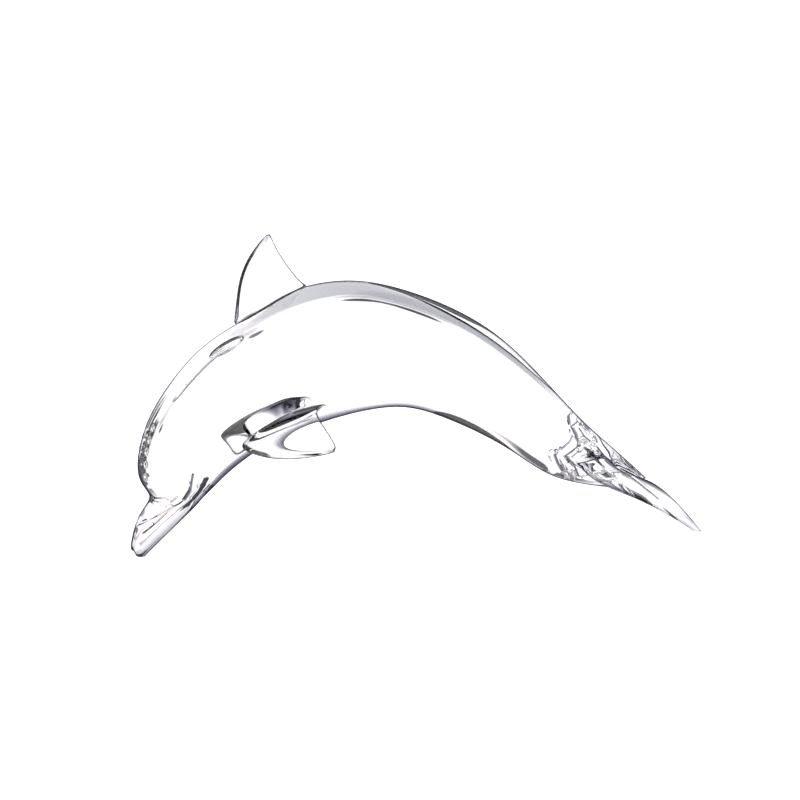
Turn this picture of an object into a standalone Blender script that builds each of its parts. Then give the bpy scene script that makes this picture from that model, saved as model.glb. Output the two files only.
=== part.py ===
# Clear glass dolphin, pressed as one solid. It stands on its beak and on the tips of its two flukes.
# Metres, +Z up, ground at z = 0, head towards -X, tail towards +X, left and right alike about y = 0.
import math

import bpy
import bmesh
from mathutils import Vector

LENGTH = 0.200             # beak to fluke tips; the figure's pose and outline are shares of it
BODY_WIDTH = 0.035         # at the back fin, the widest place
FLIPPER_SPAN = 0.062       # tip to tip
FLUKE_SPAN = 0.068         # tip to tip
FIN_THICKNESS = 0.0052     # back fin, near its root
FLIPPER_THICKNESS = 0.0050
FLUKE_THICKNESS = 0.0056
MOUTH_WIDTH = 0.0012       # of the groove pressed along the mouth line
GROUND_STOCK = 0.010       # what the grinding wheel takes off below z = 0, as a block
SMOOTHING_LEVELS = 2
FIT_ROUNDS = 5             # passes that pull the smooth surface onto the given sections

GLASS_TINT = (0.93, 0.97, 0.98, 1.0)
GLASS_ROUGHNESS = 0.02
GLASS_IOR = 1.52

# Body sections from beak to tail, in shares of LENGTH: back point x and z, belly point x and z.
# Then the section's width as a share of BODY_WIDTH, and how full its back and its belly are: 2 is
# a true oval, less draws that half up to a keel, and more flattens it.
SECTIONS = (
    (-0.498, 0.024, -0.479, -0.003, 0.17, 2.00, 2.20),   # beak tip
    (-0.485, 0.068, -0.436, 0.035, 0.26, 2.00, 2.20),
    (-0.465, 0.101, -0.394, 0.073, 0.37, 2.00, 2.20),   # crease where the beak meets the forehead
    (-0.482, 0.134, -0.374, 0.094, 0.53, 2.00, 2.20),   # forehead
    (-0.477, 0.196, -0.350, 0.117, 0.70, 2.00, 2.20),
    (-0.441, 0.269, -0.319, 0.144, 0.84, 2.00, 2.20),
    (-0.374, 0.345, -0.265, 0.179, 0.95, 2.00, 2.30),   # front of the flippers
    (-0.304, 0.391, -0.207, 0.202, 1.00, 2.00, 2.35),   # front of the back fin
    (-0.250, 0.424, -0.157, 0.215, 1.00, 2.00, 2.35),   # rear of the flippers
    (-0.189, 0.447, -0.116, 0.224, 0.99, 2.00, 2.35),   # rear of the back fin
    (-0.088, 0.454, -0.066, 0.231, 0.97, 1.95, 2.40),
    (0.045, 0.416, 0.001, 0.228, 0.89, 1.76, 2.34),
    (0.172, 0.345, 0.087, 0.196, 0.74, 1.66, 2.08),
    (0.277, 0.245, 0.186, 0.142, 0.56, 1.86, 2.00),
    (0.345, 0.175, 0.265, 0.089, 0.42, 2.00, 2.00),   # front of the flukes
    (0.400, 0.126, 0.350, 0.058, 0.30, 2.00, 2.00),
    (0.460, 0.072, 0.450, 0.040, 0.18, 2.00, 2.00),   # notch between the flukes
)
BACK_FIN_ROWS = (7, 8, 9)
FLIPPER_ROWS = (6, 7, 8)
FLUKE_ROWS = (14, 15, 16)

# Angles of a section's corners down one side, from the middle of the back. The first pair carries
# the back fin, and the third and fourth carry a flipper on the chest and a fluke on the tail.
HEAD_ANGLES = (24.0, 62.0, 110.0, 136.0, 168.0)
CHEST_ANGLES = (9.5, 57.0, 110.0, 136.0, 168.0)
TAIL_ANGLES = (16.0, 45.0, 73.0, 107.0, 155.0)
# The sections at which those angles hold; between two of them they glide from one to the next.
ANGLE_STOPS = ((3, HEAD_ANGLES), (6, CHEST_ANGLES), (8, CHEST_ANGLES), (13, TAIL_ANGLES))

# Blades, from root to tip, in shares of LENGTH: front edge x and z, rear edge x and z, then the
# place across as a share of the half span, then the thickness as a share of the root's.
BACK_FIN = (
    (-0.301, 0.422, -0.202, 0.459, 0.0, 1.00),
    (-0.295, 0.468, -0.222, 0.488, 0.0, 0.82),
    (-0.278, 0.510, -0.239, 0.520, 0.0, 0.62),
    (-0.257, 0.537, -0.246, 0.540, 0.0, 0.34),
)
FLIPPER = (
    (-0.314, 0.200, -0.202, 0.246, 0.62, 1.00),
    (-0.262, 0.185, -0.193, 0.222, 0.86, 0.74),
    (-0.196, 0.191, -0.182, 0.203, 1.00, 0.38),
)
FLUKE = (
    (0.342, 0.085, 0.447, 0.067, 0.32, 1.00),
    (0.388, 0.062, 0.457, 0.058, 0.60, 0.80),
    (0.440, 0.034, 0.476, 0.033, 0.84, 0.60),
    (0.486, 0.004, 0.497, 0.001, 1.00, 0.42),
)
EDGE_PROFILE = (0.42, 1.0, 0.30)    # thickness at a blade's front edge, middle and rear edge
COLLAR = 0.25              # how far out from the body, towards the first section, a crisp root turns

# Mouth line down one side, from the corner of the mouth to the beak's end, x and z in shares of
# LENGTH, and the height at which it passes round the beak's end.
MOUTH_LINE = ((-0.384, 0.131), (-0.389, 0.116), (-0.405, 0.096), (-0.420, 0.083), (-0.436, 0.069),
              (-0.452, 0.055), (-0.468, 0.041), (-0.487, 0.024))
MOUTH_FRONT = 0.014
MOUTH_SUNK = 0.32          # how far the groove's middle stands off the glass, in groove widths


def clear_scene():
    for old in list(bpy.data.objects):
        bpy.data.objects.remove(old, do_unlink=True)


def glass_material():
    glass = bpy.data.materials.new("clear_glass")
    glass.use_nodes = True
    shader = glass.node_tree.nodes["Principled BSDF"]
    shader.inputs["Base Color"].default_value = GLASS_TINT
    shader.inputs["Roughness"].default_value = GLASS_ROUGHNESS
    shader.inputs["Metallic"].default_value = 0.0
    shader.inputs["IOR"].default_value = GLASS_IOR
    shader.inputs["Transmission Weight"].default_value = 1.0
    return glass


def section_angles(index):
    # The corner angles of one section, gliding between the two stops around it.
    for (first, before), (last, after) in zip(ANGLE_STOPS, ANGLE_STOPS[1:]):
        if index <= last:
            break
    share = min(max((index - first) / (last - first), 0.0), 1.0)
    return [math.radians(start + (end - start) * share) for start, end in zip(before, after)]


def section_ring(bm, index):
    # One section: a list of (left corner, right corner) pairs from back to belly.
    back_x, back_z, belly_x, belly_z, width, back_fullness, belly_fullness = SECTIONS[index]
    back = Vector((back_x, 0.0, back_z)) * LENGTH
    belly = Vector((belly_x, 0.0, belly_z)) * LENGTH
    centre = (back + belly) / 2
    upward = (back - belly) / 2
    half_width = width * BODY_WIDTH / 2
    pairs = []
    for angle in section_angles(index):
        power = 2 / (back_fullness if math.cos(angle) > 0 else belly_fullness)
        height = math.copysign(abs(math.cos(angle)) ** power, math.cos(angle))
        middle = centre + upward * height
        reach = Vector((0.0, half_width * math.sin(angle) ** power, 0.0))
        pairs.append((bm.verts.new(middle - reach), bm.verts.new(middle + reach)))
    return pairs


def ring_loop(pairs):
    return [pair[0] for pair in pairs] + [pair[1] for pair in reversed(pairs)]


def bridge(bm, first, second):
    for i in range(len(first)):
        j = (i + 1) % len(first)
        bm.faces.new((first[i], first[j], second[j], second[i]))


def build_body(bm):
    rings = [section_ring(bm, index) for index in range(len(SECTIONS))]
    for front, rear in zip(rings, rings[1:]):
        bridge(bm, ring_loop(front), ring_loop(rear))
    for end in (rings[0], rings[-1]):
        close_with_quads(bm, end)
    return rings


def close_with_quads(bm, pairs):
    for upper, lower in zip(pairs, pairs[1:]):
        bm.faces.new((upper[0], upper[1], lower[1], lower[0]))


def remove_face(bm, corners):
    for face in corners[0].link_faces:
        if set(face.verts) == set(corners):
            bm.faces.remove(face)
            return


def grow_blade(bm, root, sections, half_span, thickness, side, collar):
    # Grows a fin out of a strip of body faces. root holds the strip's (upper, lower) corners from
    # front to rear; each section adds a loop of corners, and the last one is closed. A collar loop
    # close to the body keeps the root crisp.
    middles = [sum((v.co for pair in root for v in pair), Vector()) / (2 * len(root))]
    edges = []
    for front_x, front_z, rear_x, rear_z, across, _ in sections:
        y = side * across * half_span
        front = Vector((front_x * LENGTH, y, front_z * LENGTH))
        rear = Vector((rear_x * LENGTH, y, rear_z * LENGTH))
        edges.append((front, rear))
        middles.append((front + rear) / 2)
    for upper, lower in zip(root, root[1:]):
        remove_face(bm, (upper[0], lower[0], lower[1], upper[1]))
    previous = root
    for level, (front, rear) in enumerate(edges):
        spanwise = middles[level + 1] - middles[level]
        normal = (rear - front).cross(spanwise).normalized()
        if normal.dot(previous[1][0].co - previous[1][1].co) < 0:
            normal.negate()
        half_thickness = thickness * sections[level][5] / 2
        rows = []
        for row, profile in enumerate(EDGE_PROFILE):
            middle = front.lerp(rear, row / (len(EDGE_PROFILE) - 1))
            rows.append((middle, normal * half_thickness * profile))
        if level == 0 and collar:
            pairs = []
            for (upper, lower), (middle, offset) in zip(root, rows):
                near = ((upper.co + lower.co) / 2).lerp(middle, COLLAR)
                pairs.append((bm.verts.new(near + offset), bm.verts.new(near - offset)))
            bridge(bm, ring_loop(previous), ring_loop(pairs))
            previous = pairs
        pairs = [(bm.verts.new(middle + offset), bm.verts.new(middle - offset))
                 for middle, offset in rows]
        bridge(bm, ring_loop(previous), ring_loop(pairs))
        previous = pairs
    close_with_quads(bm, previous)


def build_cage():
    bm = bmesh.new()
    rings = build_body(bm)
    fin_root = [rings[row][0] for row in BACK_FIN_ROWS]
    grow_blade(bm, fin_root, BACK_FIN, 0.0, FIN_THICKNESS, 1, True)
    for side in (0, 1):
        sign = 2 * side - 1
        flipper_root = [(rings[row][2][side], rings[row][3][side]) for row in FLIPPER_ROWS]
        grow_blade(bm, flipper_root, FLIPPER, FLIPPER_SPAN / 2, FLIPPER_THICKNESS, sign, True)
        fluke_root = [(rings[row][2][side], rings[row][3][side]) for row in FLUKE_ROWS]
        grow_blade(bm, fluke_root, FLUKE, FLUKE_SPAN / 2, FLUKE_THICKNESS, sign, False)
    bmesh.ops.recalc_face_normals(bm, faces=bm.faces)
    mesh = bpy.data.meshes.new("glass_dolphin")
    bm.to_mesh(mesh)
    bm.free()
    return mesh


def fit_cage(dolphin, smooth):
    # A smoothed cage shrinks. Its corners are moved out until the smooth surface passes through
    # the places that the sections gave them.
    wanted = [vertex.co.copy() for vertex in dolphin.data.vertices]
    smooth.levels = 1
    for _ in range(FIT_ROUNDS):
        graph = bpy.context.evaluated_depsgraph_get()
        surface = dolphin.evaluated_get(graph).data
        found = [surface.vertices[i].co.copy() for i in range(len(wanted))]
        for vertex, aim, place in zip(dolphin.data.vertices, wanted, found):
            vertex.co += aim - place
        dolphin.data.update()
        dolphin.update_tag()
    smooth.levels = SMOOTHING_LEVELS
    smooth.render_levels = SMOOTHING_LEVELS


def cut_away(dolphin, cutter):
    cutter.hide_render = True
    cutter.display_type = "WIRE"
    cut = dolphin.modifiers.new(cutter.name, "BOOLEAN")
    cut.operation = "DIFFERENCE"
    cut.solver = "EXACT"
    cut.object = cutter


def glass_hit(dolphin, start, direction):
    found, place, normal, _ = dolphin.ray_cast(start, direction)
    if not found:
        raise RuntimeError("the mouth line misses the beak")
    return place + normal * MOUTH_WIDTH * MOUTH_SUNK


def mouth_groove(dolphin):
    # A round bar bent along the glass, from one corner of the mouth round the beak to the other.
    graph = bpy.context.evaluated_depsgraph_get()
    surface = dolphin.evaluated_get(graph)
    far = LENGTH
    near_side = []
    for x, z in MOUTH_LINE:
        near_side.append(glass_hit(surface, Vector((x * LENGTH, -far, z * LENGTH)), Vector((0, 1, 0))))
    front = glass_hit(surface, Vector((-far, 0.0, MOUTH_FRONT * LENGTH)), Vector((1, 0, 0)))
    far_side = [Vector((point.x, -point.y, point.z)) for point in reversed(near_side)]
    route = near_side + [front] + far_side
    curve = bpy.data.curves.new("mouth_groove", "CURVE")
    curve.dimensions = "3D"
    curve.bevel_depth = MOUTH_WIDTH / 2
    curve.bevel_resolution = 1
    curve.use_fill_caps = True
    spline = curve.splines.new("POLY")
    spline.points.add(len(route) - 1)
    for point, place in zip(spline.points, route):
        point.co = (*place, 1.0)
    bar = bpy.data.objects.new("mouth_bar", curve)
    bpy.context.scene.collection.objects.link(bar)
    graph = bpy.context.evaluated_depsgraph_get()
    mesh = bpy.data.meshes.new_from_object(bar.evaluated_get(graph))
    bpy.data.objects.remove(bar, do_unlink=True)
    groove = bpy.data.objects.new("mouth_groove", mesh)
    bpy.context.scene.collection.objects.link(groove)
    return groove


def ground_block():
    # Everything below z = 0 is ground off, which leaves three small flats to stand on.
    bm = bmesh.new()
    bmesh.ops.create_cube(bm, size=1.0)
    bmesh.ops.scale(bm, verts=bm.verts, vec=(LENGTH * 1.5, FLUKE_SPAN * 2, GROUND_STOCK))
    bmesh.ops.translate(bm, verts=bm.verts, vec=(0.0, 0.0, -GROUND_STOCK / 2))
    mesh = bpy.data.meshes.new("grinding_wheel")
    bm.to_mesh(mesh)
    bm.free()
    block = bpy.data.objects.new("grinding_wheel", mesh)
    bpy.context.scene.collection.objects.link(block)
    return block


def build_dolphin():
    mesh = build_cage()
    mesh.materials.append(glass_material())
    mesh.shade_smooth()
    dolphin = bpy.data.objects.new("glass_dolphin", mesh)
    bpy.context.scene.collection.objects.link(dolphin)
    smooth = dolphin.modifiers.new("smooth", "SUBSURF")
    smooth.subdivision_type = "CATMULL_CLARK"
    fit_cage(dolphin, smooth)
    cut_away(dolphin, mouth_groove(dolphin))
    cut_away(dolphin, ground_block())
    return dolphin


clear_scene()
build_dolphin()
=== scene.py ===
import math

import bpy
import bmesh
import numpy as np
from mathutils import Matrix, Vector
from mathutils.bvhtree import BVHTree


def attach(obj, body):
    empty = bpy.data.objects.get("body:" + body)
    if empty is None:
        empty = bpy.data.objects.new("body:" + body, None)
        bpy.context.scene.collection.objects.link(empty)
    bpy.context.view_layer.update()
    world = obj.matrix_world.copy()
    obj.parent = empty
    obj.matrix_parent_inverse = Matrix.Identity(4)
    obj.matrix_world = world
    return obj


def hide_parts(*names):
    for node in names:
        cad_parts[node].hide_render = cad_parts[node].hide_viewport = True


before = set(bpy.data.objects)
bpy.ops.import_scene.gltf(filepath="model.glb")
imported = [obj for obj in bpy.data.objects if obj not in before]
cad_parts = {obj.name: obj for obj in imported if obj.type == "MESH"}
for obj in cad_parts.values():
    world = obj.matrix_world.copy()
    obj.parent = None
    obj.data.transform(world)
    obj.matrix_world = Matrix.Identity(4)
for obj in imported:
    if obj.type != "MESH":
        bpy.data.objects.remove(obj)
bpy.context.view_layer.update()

# Clear glass dolphin: one solid pressing that stands on its beak and its fluke tips.
# Metres, head towards -X, left and right alike about y = 0.
dolphin = {
    "length": 0.200,            # beak to fluke tips, the pose and the outline are shares of it
    "bodyWidth": 0.035,         # at the back fin, the widest place
    "flipperSpan": 0.062,       # tip to tip
    "flukeSpan": 0.068,         # tip to tip
    "finThickness": 0.0052,     # near the root, as the next two are
    "flipperThickness": 0.0050,
    "flukeThickness": 0.0056,
    "smoothing": 4,
    "fitRounds": 5,             # passes that pull the smooth surface onto the given places
    # back point x and z, belly point x and z, width as a share of bodyWidth, and how full the
    # back and the belly are: 2 is a true oval, less draws it to a keel, more flattens it
    "sections": (
        (-0.498, 0.024, -0.479, -0.003, 0.17, 2.00, 2.20),
        (-0.485, 0.068, -0.436, 0.035, 0.26, 2.00, 2.20),
        (-0.465, 0.101, -0.394, 0.073, 0.37, 2.00, 2.20),
        (-0.482, 0.134, -0.374, 0.094, 0.53, 2.00, 2.20),
        (-0.477, 0.196, -0.350, 0.117, 0.70, 2.00, 2.20),
        (-0.441, 0.269, -0.319, 0.144, 0.84, 2.00, 2.20),
        (-0.374, 0.345, -0.265, 0.179, 0.95, 2.00, 2.30),
        (-0.304, 0.391, -0.207, 0.202, 1.00, 2.00, 2.35),
        (-0.250, 0.424, -0.157, 0.215, 1.00, 2.00, 2.35),
        (-0.189, 0.447, -0.116, 0.224, 0.99, 2.00, 2.35),
        (-0.088, 0.454, -0.066, 0.231, 0.97, 1.95, 2.40),
        (0.045, 0.416, 0.001, 0.228, 0.89, 1.76, 2.34),
        (0.172, 0.345, 0.087, 0.196, 0.74, 1.66, 2.08),
        (0.277, 0.245, 0.186, 0.142, 0.56, 1.86, 2.00),
        (0.345, 0.175, 0.265, 0.089, 0.42, 2.00, 2.00),
        (0.400, 0.126, 0.350, 0.058, 0.30, 2.00, 2.00),
        (0.460, 0.072, 0.450, 0.040, 0.18, 2.00, 2.00),
    ),
    "backFinRows": (7, 8, 9),
    "flipperRows": (6, 7, 8),
    "flukeRows": (14, 15, 16),
    # corner angles down one side, from the middle of the back, and the section where they hold;
    # between two of these sections they glide from one to the next
    "angleStops": ((3, (24.0, 62.0, 110.0, 136.0, 168.0)), (6, (9.5, 57.0, 110.0, 136.0, 168.0)),
                   (8, (9.5, 57.0, 110.0, 136.0, 168.0)), (13, (16.0, 45.0, 73.0, 107.0, 155.0))),
    # blades from root to tip: front edge x and z, rear edge x and z, place across, thickness
    "backFin": (
        (-0.301, 0.422, -0.202, 0.459, 0.0, 1.00),
        (-0.295, 0.468, -0.222, 0.488, 0.0, 0.82),
        (-0.278, 0.510, -0.239, 0.520, 0.0, 0.62),
        (-0.257, 0.537, -0.246, 0.540, 0.0, 0.34),
    ),
    "flipper": (
        (-0.314, 0.200, -0.202, 0.246, 0.62, 1.00),
        (-0.262, 0.185, -0.193, 0.222, 0.86, 0.74),
        (-0.196, 0.191, -0.182, 0.203, 1.00, 0.38),
    ),
    "fluke": (
        (0.342, 0.085, 0.447, 0.067, 0.32, 1.00),
        (0.388, 0.062, 0.457, 0.058, 0.60, 0.80),
        (0.440, 0.034, 0.476, 0.033, 0.84, 0.60),
        (0.486, 0.004, 0.497, 0.001, 1.00, 0.42),
    ),
    "edgeProfile": (0.42, 1.0, 0.30),    # front edge, middle, rear edge
    "collar": 0.25,                      # a loop this far out keeps a fin's root crisp
}


def sectionAngles(index):
    stops = dolphin["angleStops"]
    for (first, before), (last, after) in zip(stops, stops[1:]):
        if index <= last:
            break
    share = min(max((index - first) / (last - first), 0.0), 1.0)
    return [math.radians(start + (end - start) * share) for start, end in zip(before, after)]


def sectionRing(bm, index):
    backX, backZ, bellyX, bellyZ, width, backFull, bellyFull = dolphin["sections"][index]
    back = Vector((backX, 0.0, backZ)) * dolphin["length"]
    belly = Vector((bellyX, 0.0, bellyZ)) * dolphin["length"]
    centre = (back + belly) / 2
    upward = (back - belly) / 2
    halfWidth = width * dolphin["bodyWidth"] / 2
    pairs = []
    for angle in sectionAngles(index):
        power = 2 / (backFull if math.cos(angle) > 0 else bellyFull)
        height = math.copysign(abs(math.cos(angle)) ** power, math.cos(angle))
        middle = centre + upward * height
        reach = Vector((0.0, halfWidth * math.sin(angle) ** power, 0.0))
        pairs.append((bm.verts.new(middle - reach), bm.verts.new(middle + reach)))
    return pairs


def ringLoop(pairs):
    return [pair[0] for pair in pairs] + [pair[1] for pair in reversed(pairs)]


def closeWithQuads(bm, pairs):
    for upper, lower in zip(pairs, pairs[1:]):
        bm.faces.new((upper[0], upper[1], lower[1], lower[0]))


def bridge(bm, first, second):
    for i in range(len(first)):
        j = (i + 1) % len(first)
        bm.faces.new((first[i], first[j], second[j], second[i]))


def growBlade(bm, root, sections, halfSpan, thickness, side, collar):
    # a fin grows out of a strip of body faces, loop after loop, and its tip is closed
    length = dolphin["length"]
    middles = [sum((v.co for pair in root for v in pair), Vector()) / (2 * len(root))]
    edges = []
    for frontX, frontZ, rearX, rearZ, across, _ in sections:
        y = side * across * halfSpan
        front = Vector((frontX * length, y, frontZ * length))
        rear = Vector((rearX * length, y, rearZ * length))
        edges.append((front, rear))
        middles.append((front + rear) / 2)
    for upper, lower in zip(root, root[1:]):
        corners = {upper[0], upper[1], lower[0], lower[1]}
        bm.faces.remove(next(f for f in upper[0].link_faces if set(f.verts) == corners))
    previous = root
    for level, (front, rear) in enumerate(edges):
        spanwise = middles[level + 1] - middles[level]
        normal = (rear - front).cross(spanwise).normalized()
        if normal.dot(previous[1][0].co - previous[1][1].co) < 0:
            normal.negate()
        rows = []
        for row, profile in enumerate(dolphin["edgeProfile"]):
            middle = front.lerp(rear, row / (len(dolphin["edgeProfile"]) - 1))
            rows.append((middle, normal * thickness * sections[level][5] / 2 * profile))
        loops = [rows]
        if level == 0 and collar:
            feet = [(upper.co + lower.co) / 2 for upper, lower in root]
            near = [(foot.lerp(middle, dolphin["collar"]), offset)
                    for foot, (middle, offset) in zip(feet, rows)]
            loops = [near, rows]
        for loop in loops:
            pairs = [(bm.verts.new(middle + offset), bm.verts.new(middle - offset))
                     for middle, offset in loop]
            bridge(bm, ringLoop(previous), ringLoop(pairs))
            previous = pairs
    closeWithQuads(bm, previous)


def buildCage():
    bm = bmesh.new()
    rings = [sectionRing(bm, index) for index in range(len(dolphin["sections"]))]
    for front, rear in zip(rings, rings[1:]):
        bridge(bm, ringLoop(front), ringLoop(rear))
    closeWithQuads(bm, rings[0])
    closeWithQuads(bm, rings[-1])
    finRoot = [rings[row][0] for row in dolphin["backFinRows"]]
    growBlade(bm, finRoot, dolphin["backFin"], 0.0, dolphin["finThickness"], 1, True)
    for side, sign in ((0, -1), (1, 1)):
        flipperRoot = [(rings[row][2][side], rings[row][3][side]) for row in dolphin["flipperRows"]]
        growBlade(bm, flipperRoot, dolphin["flipper"], dolphin["flipperSpan"] / 2,
                  dolphin["flipperThickness"], sign, True)
        flukeRoot = [(rings[row][2][side], rings[row][3][side]) for row in dolphin["flukeRows"]]
        growBlade(bm, flukeRoot, dolphin["fluke"], dolphin["flukeSpan"] / 2,
                  dolphin["flukeThickness"], sign, False)
    bmesh.ops.recalc_face_normals(bm, faces=bm.faces)
    mesh = bpy.data.meshes.new("dolphinCage")
    bm.to_mesh(mesh)
    bm.free()
    return mesh


def smoothPiece(name, cage):
    # the cage is let out until its smooth surface runs through the places it was given
    piece = bpy.data.objects.new(name, cage)
    bpy.context.scene.collection.objects.link(piece)
    wanted = [vertex.co.copy() for vertex in cage.vertices]
    smooth = piece.modifiers.new("smooth", "SUBSURF")
    smooth.levels = 1
    for _ in range(dolphin["fitRounds"]):
        surface = piece.evaluated_get(bpy.context.evaluated_depsgraph_get()).data
        found = [surface.vertices[i].co.copy() for i in range(len(wanted))]
        for vertex, aim, place in zip(cage.vertices, wanted, found):
            vertex.co += aim - place
        cage.update()
        piece.update_tag()
    smooth.levels = dolphin["smoothing"]
    smooth.render_levels = dolphin["smoothing"]
    graph = bpy.context.evaluated_depsgraph_get()
    mesh = bpy.data.meshes.new_from_object(piece.evaluated_get(graph))
    piece.modifiers.remove(smooth)
    piece.data = mesh
    mesh.name = name
    return piece


def grindFeet(mesh):
    for vertex in mesh.vertices:
        if vertex.co.z < 0.0:
            vertex.co.z = 0.0


# Lines and dimples that the mould pressed into the glass. Points are shares of the length: x and z
# for the side of the head and body, x, y and z on the flukes; then depth and width in metres.
press = {
    "lines": (
        # corner of the mouth and its line, then the crease and the shoulder of the beak, and the cheek
        (((-0.381, 0.140), (-0.384, 0.131), (-0.389, 0.116), (-0.398, 0.104)), 0.00055, 0.00065),
        (((-0.398, 0.104), (-0.405, 0.096), (-0.420, 0.083), (-0.436, 0.069), (-0.452, 0.055),
          (-0.468, 0.041), (-0.487, 0.024)), 0.00040, 0.00042),
        (((-0.470, 0.103), (-0.445, 0.105), (-0.438, 0.099), (-0.428, 0.109)), 0.00035, 0.00055),
        (((-0.487, 0.059), (-0.459, 0.075), (-0.436, 0.093)), 0.00032, 0.00050),
        (((-0.494, 0.033), (-0.484, 0.049), (-0.467, 0.062)), 0.00032, 0.00050),
        (((-0.473, 0.138), (-0.455, 0.147), (-0.438, 0.159), (-0.417, 0.191)), 0.00018, 0.00080),
        # the crackled root of the tail
        (((0.323, 0.184), (0.304, 0.177), (0.318, 0.151), (0.315, 0.139), (0.292, 0.124),
          (0.313, 0.101), (0.327, 0.078)), 0.00050, 0.00065),
        (((0.304, 0.177), (0.276, 0.149), (0.278, 0.126), (0.298, 0.094)), 0.00030, 0.00060),
        (((0.324, 0.171), (0.334, 0.156), (0.346, 0.146)), 0.00045, 0.00070),
        (((0.331, 0.137), (0.344, 0.130)), 0.00045, 0.00070),
        # the folds that run on over each fluke
        (((0.360, -0.022, 0.134), (0.376, -0.025, 0.116), (0.401, -0.030, 0.098),
          (0.407, -0.045, 0.087), (0.413, -0.080, 0.080), (0.420, -0.105, 0.072),
          (0.434, -0.130, 0.055)), 0.00045, 0.00065),
        (((0.310, -0.040, 0.109), (0.328, -0.045, 0.112), (0.349, -0.040, 0.114),
          (0.364, -0.050, 0.098), (0.377, -0.075, 0.084), (0.384, -0.085, 0.077)), 0.00035, 0.00060),
        (((0.327, -0.045, 0.109), (0.336, -0.055, 0.089), (0.350, -0.070, 0.074)), 0.00030, 0.00060),
    ),
    "dimples": (
        ((-0.386, 0.128), 0.0006, 0.0010),                                      # corner of the mouth
        ((-0.468, 0.216), 0.0005, 0.0011), ((-0.474, 0.198), 0.0005, 0.0011),   # up the forehead
        ((-0.479, 0.179), 0.0005, 0.0010), ((-0.480, 0.161), 0.0005, 0.0009),
        ((-0.474, 0.146), 0.0004, 0.0009),
    ),
    # a short fold ahead of the tail's root, on the left side alone, painted dark like the other marks
    "leftLines": ((((0.272, 0.126), (0.281, 0.108), (0.292, 0.093)), 0.00045, 0.00110),),
    "spacing": 0.0008,              # between the places of one line
    "finerWithin": 1.6,             # in widths from a mark: where the faces are made finer
    "sinksWithin": 3.0,             # in widths from a mark: where the skin still moves
    "fullDepth": 0.0005,            # a mark this deep gets its darkest painted shade
    "rimBend": (120.0, 560.0),      # the skin counts as a thin rim between these bends, per metre
}


def surfacePlace(skin, point, side):
    length = dolphin["length"]
    if len(point) == 3:
        x, y, z = point
        return skin.find_nearest(Vector((x, -side * y, z)) * length)[0]
    x, z = point
    return skin.ray_cast(Vector((x, side, z)) * length, Vector((0.0, -side, 0.0)))[0]


def trails(mesh):
    # every mark as a row of places on the skin, with its depth and width
    corners = [vertex.co for vertex in mesh.vertices]
    skin = BVHTree.FromPolygons(corners, [polygon.vertices[:] for polygon in mesh.polygons])
    marks = list(press["lines"])
    marks += [((spot, spot), depth, width) for spot, depth, width in press["dimples"]]
    found = []
    for side, extra in ((-1, list(press["leftLines"])), (1, [])):
        for line, depth, width in marks + extra:
            trail = []
            for start, end in zip(line, line[1:]):
                reach = math.dist(start, end) * dolphin["length"]
                steps = max(1, round(reach / press["spacing"]))
                for step in range(steps):
                    share = step / steps
                    point = [a + (b - a) * share for a, b in zip(start, end)]
                    trail.append(surfacePlace(skin, point, side))
            trail.append(surfacePlace(skin, line[-1], side))
            found.append((np.array([place[:] for place in trail if place is not None]), depth, width))
    return found


def pointPlaces(mesh):
    places = np.empty(len(mesh.vertices) * 3)
    mesh.vertices.foreach_get("co", places)
    return places.reshape(-1, 3)


def markRims(mesh):
    # how sharply the skin bends outward at each point, from 0 to 1: the rims of fin and flippers,
    # which get painted shade
    places = pointPlaces(mesh)
    outward = np.array([v.normal[:] for v in mesh.vertices])
    ends = np.empty(len(mesh.edges) * 2, dtype=np.int32)
    mesh.edges.foreach_get("vertices", ends)
    first, second = ends.reshape(-1, 2).T
    along = places[second] - places[first]
    turn = outward[second] - outward[first]
    bend = (along * turn).sum(axis=1) / np.maximum((along ** 2).sum(axis=1), 1e-12)
    sharpest = np.zeros(len(places))
    np.maximum.at(sharpest, first, bend)
    np.maximum.at(sharpest, second, bend)
    low, high = press["rimBend"]
    mask = np.clip((sharpest - low) / (high - low), 0.0, 1.0)
    valence = np.bincount(ends, minlength=len(places))
    for _ in range(2):
        around = np.bincount(first, mask[second], len(places))
        around += np.bincount(second, mask[first], len(places))
        mask = (mask + around / np.maximum(valence, 1)) / 2
    # the rim mask sets where the thin rims are darkened by painted shade
    rim = mesh.attributes.new("rim", "FLOAT", "POINT")
    rim.data.foreach_set("value", mask)


def trailGap(places, trail, margin):
    # the places near enough to matter, and how far each lies from the trail
    low, high = trail.min(axis=0) - margin, trail.max(axis=0) + margin
    near = np.where(((places > low) & (places < high)).all(axis=1))[0]
    gap = np.full(len(near), np.inf)
    for first, second in zip(trail, trail[1:]):
        along = second - first
        share = np.clip((places[near] - first) @ along / max(along @ along, 1e-12), 0.0, 1.0)
        away = places[near] - first - share[:, None] * along
        gap = np.minimum(gap, np.linalg.norm(away, axis=1))
    return near, gap


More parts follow.
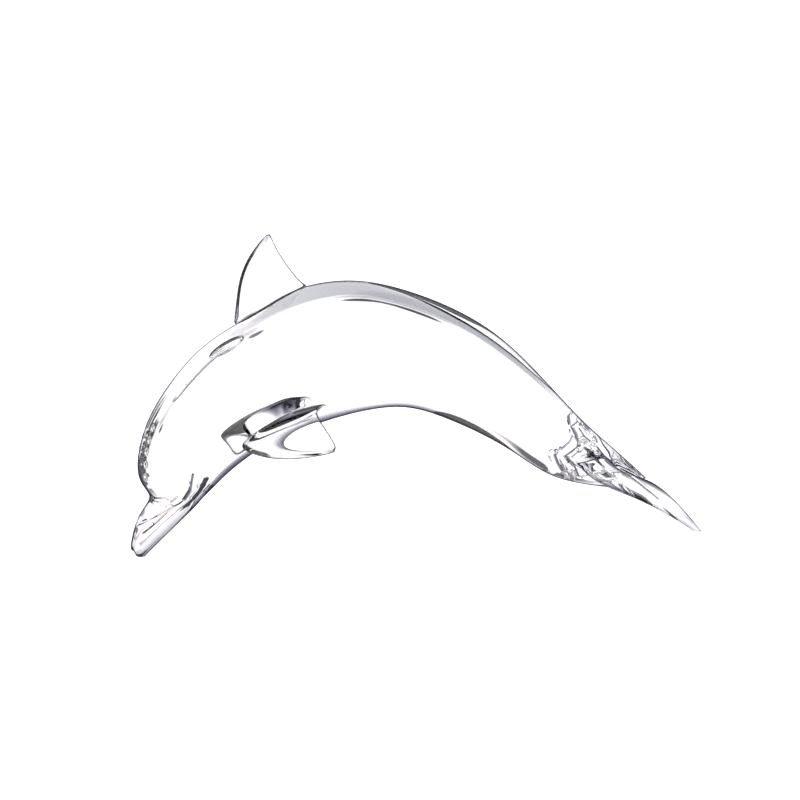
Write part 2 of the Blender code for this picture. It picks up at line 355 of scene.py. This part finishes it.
def pressDetail(mesh):
    marks = trails(mesh)
    markRims(mesh)
    # finer faces under the marks, so that their edges come out crisp
    places = pointPlaces(mesh)
    close = np.zeros(len(places), dtype=bool)
    for trail, depth, width in marks:
        near, gap = trailGap(places, trail, press["finerWithin"] * width)
        close[near[gap < press["finerWithin"] * width]] = True
    bm = bmesh.new()
    bm.from_mesh(mesh)
    bm.faces.ensure_lookup_table()
    chosen = {edge for face in bm.faces if any(close[v.index] for v in face.verts)
              for edge in face.edges}
    bmesh.ops.subdivide_edges(bm, edges=list(chosen), cuts=1, use_grid_fill=True)
    bm.to_mesh(mesh)
    bm.free()
    mesh.update()

    places = pointPlaces(mesh)
    outward = np.array([v.normal[:] for v in mesh.vertices])
    sunk = np.zeros(len(places))
    mask = np.zeros(len(places))
    for trail, depth, width in marks:
        near, gap = trailGap(places, trail, press["sinksWithin"] * width)
        bell = np.exp(-(gap / width) ** 2)
        sunk[near] = np.maximum(sunk[near], depth * bell)
        mask[near] = np.maximum(mask[near], bell * min(1.0, depth / press["fullDepth"]))
    places -= outward * sunk[:, None]
    mesh.vertices.foreach_set("co", places.ravel())
    # the pressed mask sets how dark each place of a line or dimple is painted: painted shade
    pressed = mesh.attributes.new("pressed", "FLOAT", "POINT")
    pressed.data.foreach_set("value", mask)
    mesh.update()
    print("pressed detail:", len(marks), "marks,", int((sunk > 1e-5).sum()), "points moved")


# Air sealed in the glass: a string of bubbles up the forehead, a long one in the nape and a few in
# the root of the tail. Paths, radius and spread are in metres, and detail is how round a bubble is.
# A lone bubble sits at the start of its path.
air = {
    "forehead": {"path": ((-0.0914, -0.0032, 0.0450), (-0.0938, -0.0034, 0.0365),
                          (-0.0941, -0.0034, 0.0285)),
                 "count": 5, "radius": 0.00120, "stretch": 1.40, "spread": 0.0001, "vary": 0.10,
                 "seed": 4, "detail": 3},
    "nape": {"path": ((-0.0657, -0.0045, 0.0707), (-0.0557, -0.0048, 0.0757)),
             "count": 1, "radius": 0.0022, "stretch": 3.1, "spread": 0.0, "vary": 0.0,
             "seed": 1, "detail": 4},
    "tail": {"path": ((0.0560, -0.0010, 0.0285), (0.0640, -0.0010, 0.0262), (0.0720, -0.0010, 0.0235)),
             "count": 9, "radius": 0.00115, "stretch": 1.6, "spread": 0.0034, "vary": 0.45,
             "seed": 7, "detail": 3},
}


def bubbleTree(glass):
    tree = bpy.data.node_groups.new("sealedAir", "GeometryNodeTree")
    face = tree.interface
    face.new_socket("Geometry", in_out="INPUT", socket_type="NodeSocketGeometry")
    face.new_socket("Geometry", in_out="OUTPUT", socket_type="NodeSocketGeometry")
    for name, kind in (("Count", "Int"), ("Radius", "Float"), ("Stretch", "Float"),
                       ("Spread", "Float"), ("Vary", "Float"), ("Seed", "Int"), ("Detail", "Int")):
        face.new_socket(name, in_out="INPUT", socket_type="NodeSocket" + kind)
    node = tree.nodes.new
    link = tree.links.new
    given = node("NodeGroupInput")
    made = node("NodeGroupOutput")

    # places along the path, strayed a little to each side
    asCurve = node("GeometryNodeMeshToCurve")
    link(given.outputs["Geometry"], asCurve.inputs["Mesh"])
    places = node("GeometryNodeCurveToPoints")
    places.mode = "COUNT"
    link(asCurve.outputs["Curve"], places.inputs["Curve"])
    link(given.outputs["Count"], places.inputs["Count"])
    stray = node("FunctionNodeRandomValue")
    stray.data_type = "FLOAT_VECTOR"
    stray.inputs[0].default_value = (-1.0, -1.0, -1.0)
    stray.inputs[1].default_value = (1.0, 1.0, 1.0)
    link(given.outputs["Seed"], stray.inputs["Seed"])
    shift = node("ShaderNodeVectorMath")
    shift.operation = "SCALE"
    link(stray.outputs[0], shift.inputs[0])
    link(given.outputs["Spread"], shift.inputs["Scale"])
    moved = node("GeometryNodeSetPosition")
    link(places.outputs["Points"], moved.inputs["Geometry"])
    link(shift.outputs["Vector"], moved.inputs["Offset"])

    # one bubble, drawn out along the path
    ball = node("GeometryNodeMeshIcoSphere")
    link(given.outputs["Radius"], ball.inputs["Radius"])
    link(given.outputs["Detail"], ball.inputs["Subdivisions"])
    shape = node("ShaderNodeCombineXYZ")
    shape.inputs["X"].default_value = 1.0
    shape.inputs["Y"].default_value = 1.0
    link(given.outputs["Stretch"], shape.inputs["Z"])
    drawn = node("GeometryNodeTransform")
    link(ball.outputs["Mesh"], drawn.inputs["Geometry"])
    link(shape.outputs["Vector"], drawn.inputs["Scale"])

    least = node("ShaderNodeMath")
    least.operation = "SUBTRACT"
    least.inputs[0].default_value = 1.0
    link(given.outputs["Vary"], least.inputs[1])
    size = node("FunctionNodeRandomValue")
    size.data_type = "FLOAT"
    size.inputs[3].default_value = 1.0
    link(least.outputs["Value"], size.inputs[2])
    link(given.outputs["Seed"], size.inputs["Seed"])
    bubbles = node("GeometryNodeInstanceOnPoints")
    link(moved.outputs["Geometry"], bubbles.inputs["Points"])
    link(drawn.outputs["Geometry"], bubbles.inputs["Instance"])
    link(places.outputs["Rotation"], bubbles.inputs["Rotation"])
    link(size.outputs[1], bubbles.inputs["Scale"])

    # a bubble is a wall of the glass, so its faces look into the air inside it
    real = node("GeometryNodeRealizeInstances")
    turned = node("GeometryNodeFlipFaces")
    smooth = node("GeometryNodeSetShadeSmooth")
    finish = node("GeometryNodeSetMaterial")
    finish.inputs["Material"].default_value = glass
    link(bubbles.outputs["Instances"], real.inputs["Geometry"])
    link(real.outputs["Geometry"], turned.inputs["Mesh"])
    link(turned.outputs["Mesh"], smooth.inputs["Geometry"])
    link(smooth.outputs["Geometry"], finish.inputs["Geometry"])
    link(finish.outputs["Geometry"], made.inputs["Geometry"])
    return tree


def makeBubbles(tree, name, spec):
    guide = bpy.data.meshes.new(name)
    path = spec["path"]
    guide.from_pydata(path, [(i, i + 1) for i in range(len(path) - 1)], [])
    piece = bpy.data.objects.new(name, guide)
    bpy.context.scene.collection.objects.link(piece)
    nodes = piece.modifiers.new("sealedAir", "NODES")
    nodes.node_group = tree
    for socket in tree.interface.items_tree:
        if socket.in_out == "INPUT" and socket.name.lower() in spec:
            nodes[socket.identifier] = spec[socket.name.lower()]
    graph = bpy.context.evaluated_depsgraph_get()
    mesh = bpy.data.meshes.new_from_object(piece.evaluated_get(graph))
    bpy.data.objects.remove(piece, do_unlink=True)
    print("air in the", name + ":", len(mesh.polygons), "faces")
    return mesh


glassLook = {
    # painted shade: a dark coat tint, taken as the skin turns away from the eye, draws the dark
    # outline
    "paintedRimShade": (0.60, 0.585, 0.635, 1.0),
    # painted shade in the pressed lines: tones from open glass, through a painted teal and rosy
    # fringe, to the dark bottom of a pressed line
    "pressed": ((0.0, (0.985, 0.995, 0.995)), (0.42, (0.84, 0.96, 0.96)), (0.62, (0.92, 0.66, 0.74)),
                (0.80, (0.03, 0.035, 0.06)), (1.0, (0.004, 0.006, 0.012))),
    # how much of the painted rim shade the skin takes as it turns away from the eye, then at a thin
    # rim
    "rim": ((0.54, (0.0, 0.0, 0.0)), (0.66, (0.8, 0.8, 0.8)), (0.74, (1.0, 1.0, 1.0))),
    "rimShare": 0.95,
    "ior": 1.52,
    "roughness": (0.0, 0.012),      # least and most, fire-polished glass with a few dull spots
    "rippleSize": 90.0,             # how close the ripples of the pressing lie
    "rippleDepth": 0.00003,
    "dullSize": 35.0,               # how close the dull spots lie
    "dullSpots": (0.55, 0.80),      # noise values where they begin and are dullest
}


def glassMaterial():
    glass = bpy.data.materials.new("clearGlass")
    glass.use_nodes = True
    tree = glass.node_tree
    shader = tree.nodes["Principled BSDF"]
    shader.inputs["IOR"].default_value = glassLook["ior"]
    # the coat reflects nothing and only darkens what lies under it: painted rim shade
    shader.inputs["Coat IOR"].default_value = 1.0
    shader.inputs["Coat Tint"].default_value = glassLook["paintedRimShade"]
    shader.inputs["Transmission Weight"].default_value = 1.0
    coords = tree.nodes.new("ShaderNodeTexCoord")
    ripple = tree.nodes.new("ShaderNodeTexNoise")
    ripple.inputs["Scale"].default_value = glassLook["rippleSize"]
    ripple.inputs["Detail"].default_value = 1.0
    bump = tree.nodes.new("ShaderNodeBump")
    bump.inputs["Distance"].default_value = glassLook["rippleDepth"]
    dull = tree.nodes.new("ShaderNodeTexNoise")
    dull.inputs["Scale"].default_value = glassLook["dullSize"]
    spread = tree.nodes.new("ShaderNodeMapRange")
    spread.inputs["From Min"].default_value = glassLook["dullSpots"][0]
    spread.inputs["From Max"].default_value = glassLook["dullSpots"][1]
    spread.inputs["To Min"].default_value = glassLook["roughness"][0]
    spread.inputs["To Max"].default_value = glassLook["roughness"][1]
    links = tree.links
    # painted shade, with painted teal and rosy fringes, in the pressed lines
    mark = tree.nodes.new("ShaderNodeAttribute")
    mark.attribute_name = "pressed"
    body = tree.nodes.new("ShaderNodeValToRGB")
    fillRamp(body, glassLook["pressed"])
    links.new(mark.outputs["Fac"], body.inputs["Fac"])
    links.new(body.outputs["Color"], shader.inputs["Base Color"])
    # painted shade: the dark outline, and the thin rims of the fins
    graze = tree.nodes.new("ShaderNodeLayerWeight")
    rim = tree.nodes.new("ShaderNodeValToRGB")
    fillRamp(rim, glassLook["rim"])
    links.new(graze.outputs["Facing"], rim.inputs["Fac"])
    thin = tree.nodes.new("ShaderNodeAttribute")
    thin.attribute_name = "rim"
    grown = tree.nodes.new("ShaderNodeMath")
    grown.operation = "MULTIPLY_ADD"
    grown.use_clamp = True
    grown.inputs[1].default_value = glassLook["rimShare"]
    links.new(thin.outputs["Fac"], grown.inputs[0])
    links.new(rim.outputs["Color"], grown.inputs[2])
    links.new(grown.outputs["Value"], shader.inputs["Coat Weight"])
    # ripples and dull spots
    links.new(coords.outputs["Object"], ripple.inputs["Vector"])
    links.new(coords.outputs["Object"], dull.inputs["Vector"])
    links.new(ripple.outputs["Fac"], bump.inputs["Height"])
    links.new(bump.outputs["Normal"], shader.inputs["Normal"])
    links.new(dull.outputs["Fac"], spread.inputs["Value"])
    links.new(spread.outputs["Result"], shader.inputs["Roughness"])
    return glass


def makeDolphin():
    piece = smoothPiece("glassDolphin", buildCage())
    pressDetail(piece.data)
    grindFeet(piece.data)
    glass = glassMaterial()
    tree = bubbleTree(glass)
    bm = bmesh.new()
    bm.from_mesh(piece.data)
    for name, spec in air.items():
        bubbles = makeBubbles(tree, name, spec)
        bm.from_mesh(bubbles)
        bpy.data.meshes.remove(bubbles)
    bm.to_mesh(piece.data)
    bm.free()
    piece.data.shade_smooth()
    piece.data.materials.clear()
    piece.data.materials.append(glass)
    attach(piece, "root")
    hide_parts("glass_dolphin")
    print("dolphin:", len(piece.data.polygons), "faces")
    return piece


studio = {
    "floorSize": 60.0,
    "floorColour": (0.90, 0.90, 0.90, 1.0),
    "floorGlow": 0.55,
    "toothSize": 900.0,             # how close the tooth of the paper lies
    "toothDepth": 0.00002,
    "floorRoughness": (0.85, 0.95),
    # the glass stands in a soft shade that reaches towards the camera, with a grey and a dark
    # strip behind it: middle, half size, turn in degrees, tones from the middle outward
    "shades": (
        ((-0.020, -0.090), (0.058, 0.150), 0.0,
         ((0.0, (0.30, 0.31, 0.34)), (0.45, (0.36, 0.37, 0.40)), (0.72, (0.44, 0.44, 0.47)),
          (0.84, (0.60, 0.57, 0.60)), (1.0, (1.0, 1.0, 1.0)))),
        ((0.0010, 0.054), (0.0120, 0.0075), 66.0,
         ((0.0, (0.44, 0.44, 0.47)), (0.60, (0.52, 0.50, 0.53)), (1.0, (1.0, 1.0, 1.0)))),
        ((0.0056, 0.072), (0.0085, 0.0038), 66.0,
         ((0.0, (0.02, 0.02, 0.03)), (0.60, (0.06, 0.05, 0.07)), (1.0, (1.0, 1.0, 1.0)))),
    ),
    "skyColour": (1.0, 1.0, 1.0, 1.0),
    "skyStrength": 1.35,
    # the unlit parts of the room, behind the camera and to the right: direction, tones
    "darkParts": (
        ((-0.326, -0.946, 0.0), ((0.84, (1.0, 1.0, 1.0)), (0.90, (0.80, 0.45, 0.52)),
                                 (0.95, (0.05, 0.04, 0.06)), (1.0, (0.02, 0.05, 0.06)))),
        ((0.75, -0.10, 0.65), ((0.82, (1.0, 1.0, 1.0)), (0.85, (0.50, 0.44, 0.47)),
                               (0.89, (0.04, 0.04, 0.05)), (1.0, (0.02, 0.05, 0.06)))),
    ),
}


def fillRamp(ramp, stops):
    while len(ramp.color_ramp.elements) < len(stops):
        ramp.color_ramp.elements.new(1.0)
    for element, (place, colour) in zip(ramp.color_ramp.elements, stops):
        element.position = place
        element.color = (*colour, 1.0)


def multiply(tree, first, second):
    # sockets 6 and 7 are the mix node's two colours, and output 2 is its colour
    if first is None:
        return second
    both = tree.nodes.new("ShaderNodeMix")
    both.data_type = "RGBA"
    both.blend_type = "MULTIPLY"
    both.inputs["Factor"].default_value = 1.0
    tree.links.new(first, both.inputs[6])
    tree.links.new(second, both.inputs[7])
    return both.outputs[2]


def paperMaterial():
    paint = bpy.data.materials.new("palePaper")
    paint.use_nodes = True
    tree = paint.node_tree
    shader = tree.nodes["Principled BSDF"]
    shader.inputs["Specular IOR Level"].default_value = 0.0
    shader.inputs["Emission Strength"].default_value = studio["floorGlow"]
    coords = tree.nodes.new("ShaderNodeTexCoord")
    links = tree.links
    # the faint tooth of the paper
    tooth = tree.nodes.new("ShaderNodeTexNoise")
    tooth.inputs["Scale"].default_value = studio["toothSize"]
    rough = tree.nodes.new("ShaderNodeMapRange")
    rough.inputs["To Min"].default_value = studio["floorRoughness"][0]
    rough.inputs["To Max"].default_value = studio["floorRoughness"][1]
    bump = tree.nodes.new("ShaderNodeBump")
    bump.inputs["Distance"].default_value = studio["toothDepth"]
    links.new(coords.outputs["Object"], tooth.inputs["Vector"])
    links.new(tooth.outputs["Fac"], rough.inputs["Value"])
    links.new(rough.outputs["Result"], shader.inputs["Roughness"])
    links.new(tooth.outputs["Fac"], bump.inputs["Height"])
    links.new(bump.outputs["Normal"], shader.inputs["Normal"])
    shade = None
    for middle, size, turn, stops in studio["shades"]:
        place = tree.nodes.new("ShaderNodeMapping")
        place.vector_type = "TEXTURE"
        place.inputs["Location"].default_value = (*middle, 0.0)
        place.inputs["Rotation"].default_value = (0.0, 0.0, math.radians(turn))
        place.inputs["Scale"].default_value = (*size, 1.0)
        distance = tree.nodes.new("ShaderNodeVectorMath")
        distance.operation = "LENGTH"
        fade = tree.nodes.new("ShaderNodeValToRGB")
        fillRamp(fade, stops)
        links.new(coords.outputs["Object"], place.inputs["Vector"])
        links.new(place.outputs["Vector"], distance.inputs[0])
        links.new(distance.outputs["Value"], fade.inputs["Fac"])
        shade = multiply(tree, shade, fade.outputs["Color"])
    # straight from the camera the paper is plain, and only the glass picks up its shades
    path = tree.nodes.new("ShaderNodeLightPath")
    mix = tree.nodes.new("ShaderNodeMix")
    mix.data_type = "RGBA"
    mix.blend_type = "MIX"
    mix.inputs[7].default_value = (1.0, 1.0, 1.0, 1.0)
    tone = tree.nodes.new("ShaderNodeMix")
    tone.data_type = "RGBA"
    tone.blend_type = "MULTIPLY"
    tone.inputs["Factor"].default_value = 1.0
    tone.inputs[7].default_value = studio["floorColour"]
    links.new(path.outputs["Is Camera Ray"], mix.inputs["Factor"])
    links.new(shade, mix.inputs[6])
    links.new(mix.outputs[2], tone.inputs[6])
    links.new(tone.outputs[2], shader.inputs["Base Color"])
    links.new(tone.outputs[2], shader.inputs["Emission Color"])
    return paint


def makeFloor():
    bm = bmesh.new()
    bmesh.ops.create_grid(bm, x_segments=1, y_segments=1, size=studio["floorSize"] / 2)
    mesh = bpy.data.meshes.new("floor")
    bm.to_mesh(mesh)
    bm.free()
    floor = bpy.data.objects.new("floor", mesh)
    bpy.context.scene.collection.objects.link(floor)
    mesh.materials.append(paperMaterial())


def makeWorld():
    world = bpy.data.worlds.new("studioRoom")
    world.use_nodes = True
    tree = world.node_tree
    tree.nodes.clear()
    out = tree.nodes.new("ShaderNodeOutputWorld")
    seen = tree.nodes.new("ShaderNodeBackground")
    seen.inputs["Color"].default_value = studio["skyColour"]
    seen.inputs["Strength"].default_value = studio["skyStrength"]
    around = tree.nodes.new("ShaderNodeBackground")
    around.inputs["Strength"].default_value = studio["skyStrength"]
    links = tree.links
    coords = tree.nodes.new("ShaderNodeTexCoord")
    light = None
    for direction, stops in studio["darkParts"]:
        towards = tree.nodes.new("ShaderNodeVectorMath")
        towards.operation = "DOT_PRODUCT"
        towards.inputs[1].default_value = direction
        ramp = tree.nodes.new("ShaderNodeValToRGB")
        fillRamp(ramp, stops)
        links.new(coords.outputs["Generated"], towards.inputs[0])
        links.new(towards.outputs["Value"], ramp.inputs["Fac"])
        light = multiply(tree, light, ramp.outputs["Color"])
    path = tree.nodes.new("ShaderNodeLightPath")
    mix = tree.nodes.new("ShaderNodeMixShader")
    links.new(light, around.inputs["Color"])
    links.new(path.outputs["Is Camera Ray"], mix.inputs["Fac"])
    links.new(around.outputs["Background"], mix.inputs[1])
    links.new(seen.outputs["Background"], mix.inputs[2])
    links.new(mix.outputs["Shader"], out.inputs["Surface"])
    bpy.context.scene.world = world


view = {
    "azimuth": -19.0,
    "elevation": 11.53,
    "distance": 0.6673,
    "target": (-0.0026, 0.0, 0.0481),
    "lens": 85.0,
}


def makeCamera():
    azimuth = math.radians(view["azimuth"])
    elevation = math.radians(view["elevation"])
    towards = Vector((math.sin(azimuth) * math.cos(elevation),
                      -math.cos(azimuth) * math.cos(elevation), math.sin(elevation)))
    data = bpy.data.cameras.new("camera")
    data.lens = view["lens"]
    data.clip_start = 0.01
    camera = bpy.data.objects.new("camera", data)
    camera.location = Vector(view["target"]) + towards * view["distance"]
    camera.rotation_euler = towards.to_track_quat("Z", "Y").to_euler()
    bpy.context.scene.collection.objects.link(camera)
    bpy.context.scene.camera = camera


makeDolphin()
makeFloor()
makeWorld()
makeCamera()
print("studio: floor, room and camera")
bpy.context.scene.view_settings.view_transform = "Standard"
